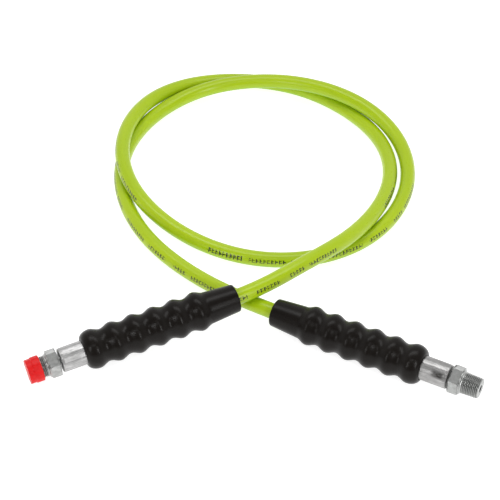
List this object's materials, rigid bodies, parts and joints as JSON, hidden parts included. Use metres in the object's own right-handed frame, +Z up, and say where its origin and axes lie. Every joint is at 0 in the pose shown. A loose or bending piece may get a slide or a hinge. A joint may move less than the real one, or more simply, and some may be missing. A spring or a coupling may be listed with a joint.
{
  "type": "hydraulic hose assembly",
  "caption": "Flexible high-pressure hydraulic hose laid in open turns, with a crimped male pipe fitting and a ribbed rubber grip at each end and a plastic cap on one thread",
  "frame": {"origin": "On the floor, midway between the two ends: the bottom centre of the box round the fittings, ferrules, grips and cap.", "axes": "+Z up. +X runs from the capped end towards the bare end. +Y runs from the ends to the far side of the turns."},
  "size_m": [0.377, 0.4488, 0.0419],
  "materials": {
    "core_tube": "smooth extruded nylon",
    "braid": "braided steel wire",
    "cover": "smooth satin polyurethane, yellow-green",
    "fitting": "zinc-plated, turned",
    "ferrule": "bright plated, crimped",
    "grip": "satin moulded rubber, black",
    "cap": "moulded polyethylene, red"
  },
  "bodies": {
    "hose": {"hose_core_tube": "core_tube", "hose_inner_braid": "braid", "hose_outer_braid": "braid", "hose_cover": "cover", "left_fitting": "fitting", "left_ferrule": "ferrule", "left_grip": "grip", "right_fitting": "fitting", "right_ferrule": "ferrule", "right_grip": "grip"},
    "cap": {"thread_cap": "cap"}
  },
  "joints": [
    {"name": "cap_slide", "type": "slide", "parent": "hose", "child": "cap", "axis": [-0.9185, -0.3861, -0.0854], "range_m": [0, 0.015]}
  ]
}
